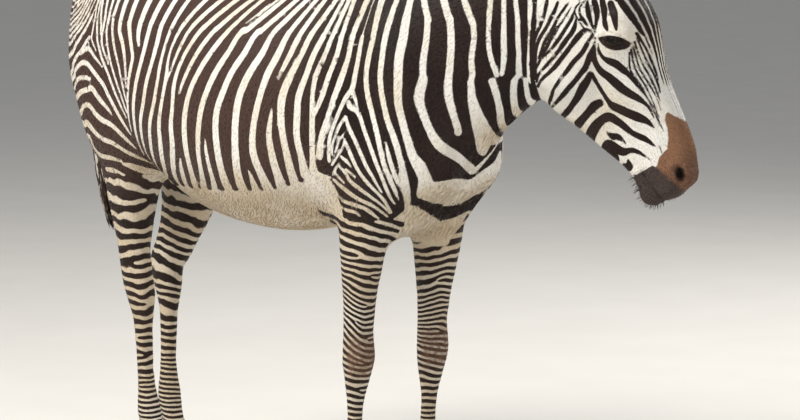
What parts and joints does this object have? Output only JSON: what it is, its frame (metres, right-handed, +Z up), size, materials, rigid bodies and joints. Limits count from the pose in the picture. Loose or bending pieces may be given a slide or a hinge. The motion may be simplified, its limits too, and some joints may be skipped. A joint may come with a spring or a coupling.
{
  "type": "zebra",
  "caption": "Life-size still model of a standing zebra with narrow stripes, a stiff upright mane, large rounded ears and a tufted tail.",
  "frame": {"origin": "on the floor under the middle of the animal's overall box", "axes": "+X the way the trunk faces, from tail to breast; +Y the animal's left, to which the head is turned; +Z up"},
  "size_m": [1.9978, 0.6134, 1.6363],
  "materials": {
    "coat": "short hair in dark brown and cream stripes",
    "ears": "short hair, banded on the back",
    "mane_hair": "stiff upright hair carrying the neck's stripes",
    "tail_hair": "long dark hair with pale strands",
    "eyes": "wet gloss",
    "hooves": "dull dark horn"
  },
  "bodies": {
    "root": {"ear_left": "ears", "ear_right": "ears", "eye_left": "eyes", "eye_right": "eyes", "fore_leg_left": "coat", "fore_leg_right": "coat", "head": "coat", "hind_leg_left": "coat", "hind_leg_right": "coat", "hoof_fore_left": "hooves", "hoof_fore_right": "hooves", "hoof_hind_left": "hooves", "hoof_hind_right": "hooves", "mane": "mane_hair", "neck": "coat", "tail_dock": "coat", "tail_tuft": "tail_hair", "trunk": "coat"}
  },
  "joints": []
}
